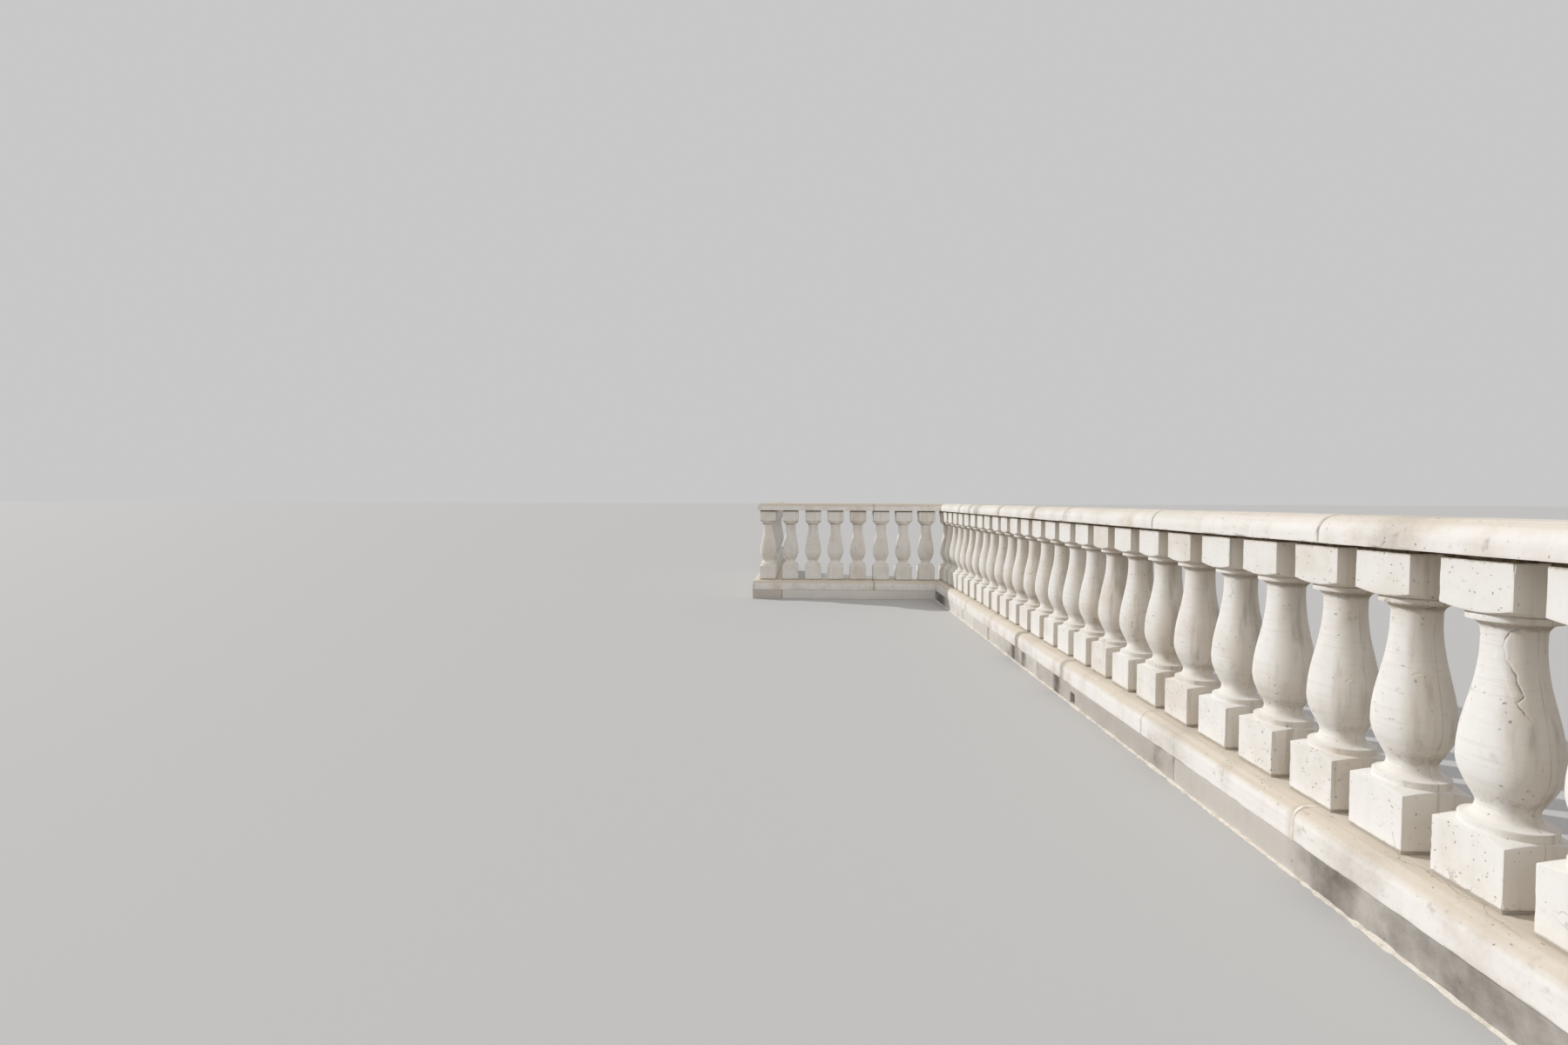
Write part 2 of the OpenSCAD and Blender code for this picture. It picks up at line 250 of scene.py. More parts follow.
def cast_stone(name, turned):
    """The finish of the castings. turned is for balusters, otherwise it is for the rails."""
    stone = Finish(name)
    tone, grime_and_shade, stain_and_shade, crack = (stone.attribute(n) for n in ("tone", "grime_and_shade", "stain_and_shade", "crack"))
    facing = stone.node("ShaderNodeNewGeometry", out="Normal")
    up, north = stone.part(facing, "Z"), stone.part(facing, "Y")
    mottle, patches = stone.cloud(6.0, 5.0), stone.cloud(2.2, 3.0)
    grain, grit = stone.cloud(95.0, 4.0), stone.cloud(420.0, 2.0)
    runs = stone.cloud(1.0, 4.0, stone.stretch(stone.place, (30.0, 30.0, 2.2)))

    clean, warm = (WASHED, CREAM) if turned else (RAIL, RAIL_CREAM)
    colour = stone.blend((mottle + tone * 0.07).rise(0.42, 0.82), clean, warm)
    colour = stone.blend((tone + patches).rise(0.9, 1.5) * 0.16, colour, ROSE)
    # Painted shade with some grime: faces turned towards -Y, away from the key lamp, go taupe,
    # more where the grime-and-shade value is high.
    away = (north * -1.0).rise(0.42, 0.85)
    shade_and_grime_weight = away * grime_and_shade
    colour = stone.blend(shade_and_grime_weight * (0.25 + 0.75 * patches), colour, TAUPE)
    colour = stone.blend(runs.rise(0.50, 0.72) * (0.04 + 0.42 * shade_and_grime_weight), colour, STAIN)
    # Painted shade: faces turned down go taupe.
    painted_underside_shade = (up * -1.0).rise(0.2, 0.9)
    colour = stone.blend(painted_underside_shade * 0.5, colour, TAUPE)
    on_top = (up - (0 if turned else grime_and_shade * 0.22)).rise(0.06, 0.71)
    if turned:
        on_shaft = (stone.part(stone.local, "Z") - SHAFT_MIDDLE).size()
        on_shaft = on_shaft.rise(SHAFT_HALF, SHAFT_HALF - 0.015)
        lines = stone.cloud(1.0, 4.0, stone.stretch(stone.local, (7.0, 7.0, 170.0))) * on_shaft
        seam = stone.part(stone.local, "Y").size().rise(0.0016, 0.0004)
        seam = seam * stone.cloud(14.0, 2.0).rise(0.35, 0.6)
        colour = stone.blend(on_top * 0.35, colour, warm)
        colour = stone.blend(seam * 0.35, colour, STAIN)
        colour = stone.blend(lines.rise(0.50, 0.70) * 0.22, colour, TAUPE)
        marks = lines * 0.26 + seam * 0.35
    else:
        lines = stone.cloud(1.0, 5.0, stone.stretch(stone.local, (1.3, 60.0, 60.0)))
        washed_top = on_top * (0.85 - 0.35 * grime_and_shade + lines.rise(0.35, 0.7) * 0.3)
        colour = stone.blend(washed_top, colour, warm)
        colour = stone.blend(lines.rise(0.5, 0.7) * 0.08, colour, TAUPE)
        colour = stone.blend(on_top * lines.rise(0.60, 0.72) * 0.15, colour, TAUPE)
        colour = stone.blend(up.rise(0.05, 0.6) * grime_and_shade * patches.rise(0.42, 0.66) * 0.3,
                             colour, LICHEN)
        marks = lines * 0.12
    colour = stone.blend(grain.rise(0.56, 0.80) * 0.22, colour, TAUPE)
    spots = stone.cloud(34.0, 4.0).rise(0.60, 0.74) * stone.cloud(7.0, 2.0).rise(0.45, 0.62)
    colour = stone.blend(spots * 0.32, colour, STAIN)

    holes = {"Vector": stone.wavy(60.0, 3.0, 0.016), "Scale": 88.0, "Randomness": 1.0}
    depth = stone.node("ShaderNodeTexVoronoi", inputs=holes, out="Distance")
    chance = stone.part(stone.node("ShaderNodeTexVoronoi", inputs=holes, out="Color"), "X")
    rare = 0.80 if turned else 0.84    # the share of cells that have no hole
    holes_here = chance.rise(rare, rare + 0.03) * mottle.rise(0.40, 0.54)
    pits = (depth - (chance - 0.80) * 0.9).rise(0.13, 0.0) * holes_here
    colour = stone.blend(pits * 0.45, colour, HOLLOW_DARK)

    webs = stone.node("ShaderNodeTexVoronoi", {"feature": "DISTANCE_TO_EDGE"},
                      {"Vector": stone.wavy(9.0, 4.0, 0.16), "Scale": 2.6}, out="Distance")
    hairlines = webs.rise(0.005, 0.001) * stone.cloud(3.1, 2.0).rise(0.58, 0.64)
    colour = stone.blend(hairlines * 0.35, colour, STAIN)

    # On balusters the stain value also carries painted shade: the bands at the beds and under
    # the head disc.
    ragged = stain_and_shade + (grain - 0.5) * (0.7 if turned else 0.2) + (mottle - 0.5) * 0.5
    ragged = ragged * stain_and_shade.rise(0.0, 0.12)
    colour = stone.blend(ragged.rise(0.05, 0.95), colour, JOINT_STAIN_AND_SHADE)
    # Cracks darken with dirt and with painted shade in them.
    colour = stone.blend(crack.rise(0.15, 0.70) * 0.55, colour, HOLLOW_DARK)
    relief = (grain * 0.22 + grit * 0.10 + mottle * 0.3 + marks - pits * 1.1
              - hairlines * 0.6 - crack * 0.8)
    return stone.surface(colour, 0.84 + grain * 0.12, relief, depth=0.0014)


CAST_RAIL, CAST_BALUSTER = cast_stone("cast_rail", False), cast_stone("cast_baluster", True)
for material in (CAST_RAIL, CAST_BALUSTER):
    print(material.name, len(material.node_tree.nodes), "nodes")

# %% [markdown]
# ## Kerb and mortar
# The kerb is greyer concrete, mottled, with dark runs of water, and by the turn painted
# shadow. The mortar is a rough lime mix, nearly white where it was pointed lately and dark in
# the beds of the balusters, darkest under the coping, which is painted shade as well as dirt,
# so its tone runs from one to the other.

# %% Kerb and mortar finishes
kerb = Finish("kerb_stone")
kerb_tone, kerb_grime, kerb_stain_and_shade = (kerb.attribute(n) for n in ("tone", "grime_and_shade", "stain_and_shade"))
kerb_mottle, kerb_patches = kerb.cloud(9.0, 6.0, roughness=0.6), kerb.cloud(2.4, 3.0)
kerb_runs = kerb.cloud(1.0, 4.0, kerb.stretch(kerb.place, (24.0, 24.0, 2.0)))
kerb_grit = kerb.cloud(170.0, 4.0)
kerb_colour = kerb.blend((kerb_mottle + kerb_tone * 0.1).rise(0.32, 0.72),
                         rgb(184, 174, 165), rgb(164, 154, 144))
kerb_colour = kerb.blend(kerb_patches.rise(0.5, 0.72) * 0.5, kerb_colour, rgb(142, 134, 126))
kerb_colour = kerb.blend(kerb_runs.rise(0.58, 0.76) * 0.45, kerb_colour, rgb(120, 112, 103))
kerb_colour = kerb.blend(kerb_grit.rise(0.52, 0.75) * 0.20, kerb_colour, rgb(130, 122, 112))
kerb_colour = kerb.blend((1 - kerb_grime) * (0.7 + 0.5 * kerb_patches), kerb_colour,
                         rgb(232, 228, 221))
kerb_cells = kerb.node("ShaderNodeTexVoronoi", inputs={"Vector": kerb.place, "Scale": 60.0},
                       out="Distance")
kerb_pits = kerb_cells.rise(0.16, 0.06) * kerb_mottle.rise(0.52, 0.6)
kerb_colour = kerb.blend(kerb_pits * 0.5, kerb_colour, rgb(98, 90, 80))
# Stains, and by the turn the painted shadow of the return, darken the kerb.
kerb_ragged = (kerb_stain_and_shade + (kerb_mottle - 0.5) * 0.9) * kerb_stain_and_shade.rise(0.0, 0.12)
kerb_colour = kerb.blend(kerb_ragged.rise(0.05, 0.9) * 0.85, kerb_colour, rgb(86, 77, 66))
KERB_STONE = kerb.surface(kerb_colour, 0.92,
                          kerb_mottle * 0.7 + kerb_grit * 0.4 - kerb_pits, depth=0.0024)

mortar = Finish("mortar")
mortar_cloud = mortar.cloud(45.0, 6.0, roughness=0.65)
mortar_colour = mortar.blend(mortar_cloud.rise(0.35, 0.68), rgb(246, 240, 230),
                             rgb(222, 212, 196))
# The dark mix is painted shade as well as dirt: the lower the tone, the more of it.
dark_mortar = mortar.blend(mortar_cloud.rise(0.35, 0.68), rgb(84, 72, 58), rgb(146, 132, 112))
mortar_colour = mortar.blend(mortar.attribute("tone").rise(0.3, -0.5), mortar_colour,
                             dark_mortar)
MORTAR = mortar.surface(mortar_colour, 0.95, mortar_cloud + mortar.cloud(150.0, 3.0) * 0.4,
                        depth=0.003)
print("kerb and mortar finishes ready")

# %% [markdown]
# ## Runs and pieces
# The plan is three straight runs. Each stone is modelled along +X, as if its run went that
# way, and one matrix then turns it into place. Before that, its vertices keep where they lie
# in the run, for marks that follow the stone, and the values that steer the finishes, because
# no two castings came out alike.

# %% Runs
SPACING = 0.254
LONG_LENGTH, RETURN_LENGTH, BACK_LENGTH = 6.837, 8 * SPACING, 3.053
RUNS = {
    "long": Matrix.Rotation(-math.pi / 2, 4, "Z"),
    "return": Matrix.Rotation(math.pi, 4, "Z"),
    "back": Matrix.Translation((-RETURN_LENGTH, 0, 0)) @ Matrix.Rotation(math.pi / 2, 4, "Z"),
}
TERRACE_SIDE = {"long": -1, "return": 1, "back": 1}    # across the stone, before it is turned
KERB_TOP, SILL_TOP = 0.100, 0.205
PLINTH_FOOT, SHAFT_FOOT, SHAFT_HEAD = 0.213, 0.370, 0.858
ABACUS_TOP, COPING_FOOT, RAIL_TOP = 0.975, 0.983, 1.067
SILL_WIDTH, COPING_WIDTH, BLOCK = 0.328, 0.220, 0.178
HALF_SILL = SILL_WIDTH / 2
WAIST = 0.6    # a height about half way up, where the distance to the camera is taken
NEAR, MIDDLE = 3.4, 5.5    # metres from the camera
RAIL_GRID = {"near": 0.009, "middle": 0.015, "far": 0.024}
# Chips only as deep as the mesh can show: a coarse one would turn them into waves.
CHIP_DEPTH = {"near": 0.0055, "middle": 0.0030, "far": 0.0010}


def grade(run, along):
    """How finely a stone is made: near the camera, in the middle or far from it."""
    distance = (RUNS[run] @ Vector((along, 0, WAIST)) - CAMERA_PLACE).length
    return "near" if distance < NEAR else "middle" if distance < MIDDLE else "far"


print("runs", ", ".join(RUNS), "- mesh from", RAIL_GRID[grade("long", LONG_LENGTH)], "to",
      RAIL_GRID[grade("back", BACK_LENGTH)], "m")

# %% [markdown]
# Three helpers serve every piece, with a few small ones beside them. One keeps the values on
# the vertices, one cuts the faces by parallel planes so that there are vertices to move, and
# one wears the stone: slow waves, fine roughness and chipped arrises, always inwards, because
# weather only takes stone away.


# %% Marks and weather
CRACK_DEPTH = 0.0013
ON_ARRIS = 0.3    # a vertex is on an arris if its normal is this many radians from a face's


def bell(where, place, half):
    """1 at a place, and less the further it is from there."""
    return math.exp(-((where - place) / half) ** 2)


def mark(bm, tone, grime_and_shade=0.0, dark_patches=(), side=0):
    """Dark patches are places along the run, each with a half width and a strength: stains, and
    on the kerb by the turn also painted shadow. They are stronger on the terrace side than on
    the outer side. Side says which way that is."""
    local = bm.verts.layers.float_vector.new("local")
    floats = bm.verts.layers.float
    tones, grime_and_shade_layer, darks = (floats.new(name) for name in ("tone", "grime_and_shade", "stain_and_shade"))
    for v in bm.verts:
        v[local], v[tones], v[grime_and_shade_layer] = v.co, tone, grime_and_shade
        share = min(1.0, max(0.3, 0.65 + 2.2 * side * v.co.y))
        v[darks] = share * max((strength * bell(v.co.x, place, half)
                                for place, half, strength in dark_patches), default=0.0)


def tell_mortar(bm, shade):
    """Set the tone of the mortar, which has the second material, from a rule on vertices."""
    tone = bm.verts.layers.float["tone"]
    for f in bm.faces:
        if f.material_index:
            for v in f.verts:
                v[tone] = shade(v)


def keep_within(bm, low, high):
    """Push back what weather and mortar moved beyond the CAD stone."""
    for v in bm.verts:
        v.co = [min(max(c, a), b) for c, a, b in zip(v.co, low, high)]


def along_axis(axis):
    return Vector([float(i == axis) for i in range(3)])


def cut(bm, place, normal, **settings):
    """Cut every face that crosses a plane, and by default keep both sides."""
    return bmesh.ops.bisect_plane(bm, geom=bm.verts[:] + bm.edges[:] + bm.faces[:],
                                  plane_co=place, plane_no=normal, **settings)


def slice_up(bm, axis, spacing):
    low = min(v.co[axis] for v in bm.verts)
    high = max(v.co[axis] for v in bm.verts)
    count = max(1, round((high - low) / spacing))
    normal = along_axis(axis)
    for step in range(1, count):
        cut(bm, normal * (low + (high - low) * step / count), normal, dist=0.0005)


def rough(p, waves, share):
    """Noise of two sizes, in waves per metre. The finer one counts by its share."""
    return noise.noise(p * waves[0]) + share * noise.noise(p * waves[1])


def weather(bm, seed, sway, chips, crumble, square=False):
    """Mortar, which has the second material, crumbles. Stone only sways and chips. Chips in a
    square arris go straight into the corner, so that they don't fold its narrow bevel."""
    bm.normal_update()
    crack = bm.verts.layers.float.get("crack")
    shift = Vector((seed * 3.7, seed * 1.3, seed * 2.1))
    moved = []
    for v in bm.verts:
        p = v.co + shift
        amount = sway * (rough(p, (9, 38), 0.45) - 0.9)
        if crack:
            amount -= v[crack] * CRACK_DEPTH
        move = Vector()
        if v.link_faces[0].material_index:
            amount += crumble * rough(p, (45, 110), 0.6)
        elif max(v.normal.angle(f.normal, 0) for f in v.link_faces) > ON_ARRIS:
            inward = v.normal
            if square:
                # A low power makes the parts of the direction about equal.
                inward = Vector([math.copysign(abs(c) ** 0.15, c) if abs(c) > 0.05 else 0
                                 for c in v.normal]).normalized()
            move = inward * -chips * max(0.0, rough(p, (16, 55), 0.6) - 0.2)
        moved.append(move + v.normal * amount)
    for v, offset in zip(bm.verts, moved):
        v.co += offset


print("cracks are", CRACK_DEPTH * 1000, "mm deep")

# %% [markdown]
# A finished piece gets its materials, shading that is smooth except at arrises, and the name
# of the CAD node that it replaces. It rides on the root, because nothing here moves.


# %% Pieces
SHARP_SHADING = 0.7    # radians between two faces that shading keeps apart


def box_between(low, high):
    bm = bmesh.new()
    bmesh.ops.create_cube(bm, size=1.0)
    low, high = Vector(low), Vector(high)
    bmesh.ops.scale(bm, vec=high - low, verts=bm.verts)
    bmesh.ops.translate(bm, vec=(low + high) / 2, verts=bm.verts)
    return bm


def sharp_edges(bm, angle=0.6):
    """Edges whose faces turn by more than an angle in radians."""
    return [e for e in bm.edges if e.is_manifold and e.calc_face_angle() > angle]


def soften(bm, edges, offset, segments=2):
    bmesh.ops.bevel(bm, geom=edges, offset=offset, offset_type="OFFSET", segments=segments,
                    profile=0.5, affect="EDGES", material=-1, clamp_overlap=True)


def add(target, source):
    """Add a copy of source to target, as it is."""
    mesh = bpy.data.meshes.new("part")
    source.to_mesh(mesh)
    target.from_mesh(mesh)
    bpy.data.meshes.remove(mesh)


def join(target, source, matrix=Matrix(), material_index=0):
    """Add a copy of source to target, moved by matrix, with one material."""
    known = set(target.faces)
    add(target, source)
    new_faces = [f for f in target.faces if f not in known]
    if matrix.is_negative:
        bmesh.ops.reverse_faces(target, faces=new_faces)
    bmesh.ops.transform(target, matrix=matrix, verts=list({v for f in new_faces
                                                          for v in f.verts}))
    for f in new_faces:
        f.material_index = material_index


def finish_piece(name, bm, materials, node):
    for f in bm.faces:
        f.smooth = True
    for e in bm.edges:
        e.smooth = not (e.is_manifold and e.calc_face_angle() > SHARP_SHADING)
    mesh = bpy.data.meshes.new(name)
    bm.to_mesh(mesh)
    bm.free()
    for material in materials:
        mesh.materials.append(material)
    piece = bpy.data.objects.new(name, mesh)
    bpy.context.scene.collection.objects.link(piece)
    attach(piece, "root")
    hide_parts(node)
    mesh.calc_loop_triangles()
    return len(mesh.loop_triangles)


print("helpers ready")

# %% [markdown]
# ## Sill and coping stones
# Both are long stones with a flat top and two rounded upper edges, cut square at plain
# joints and at 45 degrees at the turns. A cube is stretched to the stone, its two upper edges
# are bevelled into the rounding, and a plane cuts the mitre. The small bevel on what is still
# sharp stands for worn arrises. It is wider than the sway of the weathered face, which would
# fold a narrower one. A thin plate of crumbled mortar, made the same way, fills each joint.

# %% Rail stones
JOINT = 0.0030
ARRIS = 0.0022
PROUD = 0.0004    # mortar stands proud by this, before it is pushed back to the stone's face
STAIN_STEP = 0.014    # stains are kept on the vertices, so they need cuts this close
rng = random.Random(7)


def cut_end(bm, place, outward, slope):
    """Cut a stone across at a place in its run, square or at the slope of a mitre."""
    normal = Vector((outward, -outward * slope, 0)).normalized()
    done = cut(bm, Vector((place, 0, 0)) - normal * JOINT / 2, normal, clear_outer=True)
    rim = [e for e in done["geom_cut"] if isinstance(e, bmesh.types.BMEdge)]
    bmesh.ops.holes_fill(bm, edges=rim, sides=0)


def rail_block(start, end, slopes, width, foot, top, rounding):
    reach = width / 2 + 0.01    # a little more than a mitre needs
    bm = box_between((start - reach, -width / 2, foot), (end + reach, width / 2, top))
    upper = [e for e in bm.edges
             if min(v.co.z for v in e.verts) > top - 0.001
             and abs(e.verts[0].co.y - e.verts[1].co.y) < 0.001]
    soften(bm, upper, rounding, segments=12)
    cut_end(bm, start, -1, slopes[0])
    cut_end(bm, end, 1, slopes[1])
    return bm


def joint_plate(place, slope, spacing, width, foot, top, rounding, spill=0.0):
    """The mortar in one joint. Spill is how far it was smeared over the two stones."""
    half = JOINT + spill
    bm = rail_block(place - half, place + half, (slope, slope),
                    width + 2 * PROUD + spill * 0.3, foot + 0.001,
                    top + PROUD + spill * 0.15, rounding)
    slice_up(bm, 1, spacing * 0.8)
    slice_up(bm, 2, spacing * 0.8)
    return bm


def cut_up(bm, run, spacing):
    """Cut a stone along all three axes, on the long run closely enough for its stains."""
    for axis in range(3):
        slice_up(bm, axis, STAIN_STEP if axis == 0 and run == "long" else spacing)


def lay_stones(course, run, ends, mitres, dark_patches, grime_and_shade, **section):
    """One piece for each stone of a course. ends lists the joints from the turn."""
    total = 0
    for i, (start, end) in enumerate(zip(ends, ends[1:]), 1):
        slopes = [mitres[0] if i == 1 else 0, mitres[1] if i == len(ends) - 1 else 0]
        fineness = grade(run, (start + end) / 2)
        spacing = RAIL_GRID[fineness]
        bm = rail_block(start, end, slopes, **section)
        soften(bm, sharp_edges(bm), ARRIS)
        cut_up(bm, run, spacing)
        if i > 1 or run != "long":
            spill = 0.005 if (run, start) in SMEARED else 0.0
            plate = joint_plate(start, slopes[0], spacing, spill=spill, **section)
            join(bm, plate, material_index=1)
        mark(bm, rng.uniform(-1, 1), grime_and_shade, dark_patches, TERRACE_SIDE[run])
        tell_mortar(bm, lambda v: 0.8)
        weather(bm, rng.random() * 50, sway=0.0010, chips=CHIP_DEPTH[fineness],
                crumble=0.0016, square=True)
        side, mitre = section["width"] / 2, section["width"] if slopes[1] else 0
        keep_within(bm, (-side, -side, section["foot"]), (end + mitre, side, section["top"]))
        bm.transform(RUNS[run])
        total += finish_piece(f"{course}_{run}_{i}_stone", bm, [CAST_RAIL, MORTAR],
                              f"{course}_{run}_{i}")
    print(course, run, len(ends) - 1, "stones,", total, "triangles")


SILL_ENDS = [0, 1.570, 2.450, 3.150, 3.997, 4.946, 5.890, LONG_LENGTH]
COPING_ENDS = [0, 1.650, 2.457, 3.300, 3.838, 4.896, 5.885, LONG_LENGTH]
BACK_ENDS = [0, 1.161, 2.107, BACK_LENGTH]
RETURN_ENDS = [0, 0.847, RETURN_LENGTH]
SMEARED = {("long", 5.890), ("back", 1.161)}    # joints whose mortar was smeared
SILL = dict(width=SILL_WIDTH, foot=KERB_TOP, top=SILL_TOP, rounding=0.047)
COPING = dict(width=COPING_WIDTH, foot=COPING_FOOT, top=RAIL_TOP, rounding=0.057)
# Each dark patch has its place along the long run, its half width and its strength.
SILL_STAINS = [(1.57, 0.04, 0.27), (2.47, 0.04, 0.27), (3.150, 0.046, 0.82),
               (3.38, 0.18, 0.26), (3.90, 0.05, 0.25), (3.997, 0.045, 0.58),
               (4.30, 0.08, 0.27), (5.18, 0.20, 0.36), (5.55, 0.05, 0.28),
               (5.88, 0.02, 0.30), (6.14, 0.15, 0.34), (6.50, 0.30, 0.22)]
# On the coping these are soft dark bands, at the joints and between them.
COPING_DARK_BANDS = [(1.03, 0.06, 0.45), (1.47, 0.08, 0.60), (1.74, 0.16, 0.58),
                 (2.45, 0.045, 0.65), (2.78, 0.08, 0.30), (3.28, 0.06, 0.60),
                 (3.40, 0.08, 0.30), (3.865, 0.03, 0.40), (4.10, 0.06, 0.30),
                 (4.35, 0.06, 0.24), (4.893, 0.010, 0.45),
                 (5.885, 0.008, 0.30), (6.12, 0.12, 0.42)]
for course, section, ends, dark_patches, grime_and_shade in (
        ("sill", SILL, SILL_ENDS, SILL_STAINS, 0.3),
        ("coping", COPING, COPING_ENDS, COPING_DARK_BANDS, 0.9)):
    lay_stones(course, "long", ends, (-1, 0), dark_patches, grime_and_shade, **section)
    lay_stones(course, "return", RETURN_ENDS, (1, 1), [(RETURN_ENDS[1], 0.014, 0.5)], 0.1,
               **section)
    lay_stones(course, "back", BACK_ENDS, (-1, 0), [(p, 0.020, 0.5) for p in BACK_ENDS[1:3]],
               grime_and_shade, **section)

# %% [markdown]
# ## Kerb
# The kerb is a row of plain concrete blocks under the sill, as wide as it is. One of them has
# a weep hole, which lets rain off the terrace. The hole is made as a mason would see it: a
# rectangle is marked on both faces, taken out, and the two openings are bridged.

# %% Kerb stones
WEEP_PLACE, WEEP_LENGTH, WEEP_FLOOR, WEEP_HEIGHT = 4.167, 0.060, 0.012, 0.054


def cut_weep_hole(bm):
    sides = [(0, WEEP_PLACE - WEEP_LENGTH / 2), (0, WEEP_PLACE + WEEP_LENGTH / 2),
             (2, WEEP_FLOOR), (2, WEEP_FLOOR + WEEP_HEIGHT)]
    for axis, place in sides:
        cut(bm, along_axis(axis) * place, along_axis(axis))
    middle = Vector((WEEP_PLACE, 0, WEEP_FLOOR + WEEP_HEIGHT / 2))
    lids = []
    for f in bm.faces:
        away = f.calc_center_median() - middle
        if abs(away.x) < WEEP_LENGTH / 2 and abs(away.z) < WEEP_HEIGHT / 2 \
                and abs(f.normal.y) > 0.9:
            lids.append(f)
    rims = [e for e in bm.edges if sum(f in lids for f in e.link_faces) == 1]
    bmesh.ops.delete(bm, geom=lids, context="FACES")
    bmesh.ops.bridge_loops(bm, edges=[e for e in rims if e.is_valid])


print("weep hole", WEEP_LENGTH, "by", WEEP_HEIGHT, "m")

# %% [markdown]
# Along the long run a bead of mortar was pointed at the foot of the kerb, on the terrace
# side. It is a strip whose width and height wander, and in places it has broken away.


# %% Kerb and its bead
BEAD_WIDTH, BEAD_HEIGHT, BEAD_STEP = 0.012, 0.009, 0.011
BEAD_BED, BEAD_ROOM = 0.004, 0.03    # how far it may reach into the kerb, and out from it
KERB_ARRIS = 0.003
KERB_COARSER = 1.2    # the mesh of the kerb against that of the rails


def foot_bead(start, end):
    """A ragged fillet of mortar along the face on the terrace side."""
    bm = box_between((start, -HALF_SILL - BEAD_WIDTH, 0), (end, -HALF_SILL + BEAD_BED,
                                                           BEAD_HEIGHT))
    slice_up(bm, 0, BEAD_STEP)
    for v in bm.verts:
        wander = noise.noise(Vector((v.co.x * 7, 3, 1))) + 0.7 * noise.noise(
            Vector((v.co.x * 31, 8, 2)))
        full = min(1.4, max(0.3, 0.9 + 0.8 * wander))
        if v.co.y < -HALF_SILL:
            v.co.y = -HALF_SILL - BEAD_WIDTH * full
            v.co.z *= 0.35
        v.co.z *= full
    return bm


def lay_kerb(run, ends, grime_and_shade, bead=None, dark_patches=()):
    """One piece for each stone. bead says where along the run it begins and ends."""
    for i, (start, end) in enumerate(zip(ends, ends[1:]), 1):
        bm = box_between((start + JOINT / 2, -HALF_SILL, 0), (end - JOINT / 2, HALF_SILL,
                                                             KERB_TOP))
        soften(bm, bm.edges[:], KERB_ARRIS)
        if start < WEEP_PLACE < end and run == "long":
            cut_weep_hole(bm)
        fineness = grade(run, (start + end) / 2)
        spacing = RAIL_GRID[fineness] * KERB_COARSER
        cut_up(bm, run, spacing)
        bmesh.ops.recalc_face_normals(bm, faces=bm.faces)
        if i > 1:
            plate = joint_plate(start, 0, spacing, SILL_WIDTH, 0, KERB_TOP, 0.001)
            join(bm, plate, material_index=1)
        if bead:
            join(bm, foot_bead(max(start, bead[0]), min(end, bead[1])), material_index=1)
        mark(bm, rng.uniform(-1, 1), grime_and_shade[i - 1], dark_patches, TERRACE_SIDE[run])
        tell_mortar(bm, lambda v: 1.0)
        weather(bm, rng.random() * 50, sway=0.0012, chips=CHIP_DEPTH[fineness],
                crumble=0.0015, square=True)
        keep_within(bm, (start, -HALF_SILL - (BEAD_ROOM if bead else 0), 0),
                    (end, HALF_SILL, KERB_TOP))
        bm.transform(RUNS[run])
        name = "kerb_return" if run == "return" else f"kerb_{run}_{i}"
        finish_piece(f"{name}_stone", bm, [KERB_STONE, MORTAR], name)


# The first, by the turn, is mostly painted shadow of the return; the rest are stains.
KERB_STAINS_AND_SHADOW = [(0.42, 0.30, 0.95), (1.30, 0.03, 0.25), (1.50, 0.05, 0.35),
               (2.41, 0.035, 0.60), (3.10, 0.42, 0.42), (3.08, 0.055, 1.00),
               (3.30, 0.065, 0.72), (3.93, 0.060, 0.72), (5.08, 0.06, 0.35),
               (5.221, 0.004, 0.6), (6.05, 0.13, 0.68), (6.50, 0.42, 0.55)]
lay_kerb("long", [-HALF_SILL, 1.939, 3.580, 5.221, LONG_LENGTH], grime_and_shade=(0.0, 0.2, 0.6, 0.4),
         bead=(HALF_SILL, LONG_LENGTH), dark_patches=KERB_STAINS_AND_SHADOW)
lay_kerb("return", [HALF_SILL, RETURN_LENGTH - HALF_SILL], grime_and_shade=(0.0,))
lay_kerb("back", [-HALF_SILL, 1.939, BACK_LENGTH], grime_and_shade=(0.4, 0.6))
print("kerb laid")

# %% [markdown]
# ## The turned baluster
# The pattern of a baluster is turned on a lathe, and the mould is taken from it. So its shaft
# is one outline spun about the axis: a foot disc with a hollow flare, a pear-shaped belly, a
# slim neck and a head disc. The outline is drawn from a few arcs and curves, in metres from
# the axis and above the plinth.


# %% Outline of the shaft
FOOT_RADIUS, NECK_RADIUS, BELLY_RADIUS = 0.084, 0.0545, 0.090
FLARE_HEIGHT, BELLY_HEIGHT, NECK_HEIGHT, SHAFT_TOP = 0.047, 0.153, 0.430, 0.498


def arc(x, y, rx, ry, a, b, steps):
    """Part of an ellipse, from one angle to another in degrees."""
    turns = [math.radians(a + (b - a) * i / steps) for i in range(steps + 1)]
    return [(x + rx * math.cos(t), y + ry * math.sin(t)) for t in turns]


def curve(p, pc, qc, q, steps):
    """A smooth curve from p to q, which leaves p towards pc and comes to q from qc."""
    points = []
    for i in range(1, steps + 1):
        t = i / steps
        u = 1 - t
        w = (u ** 3, 3 * u * u * t, 3 * u * t * t, t ** 3)
        points.append(tuple(sum(k * c[a] for k, c in zip(w, (p, pc, qc, q))) for a in (0, 1)))
    return points


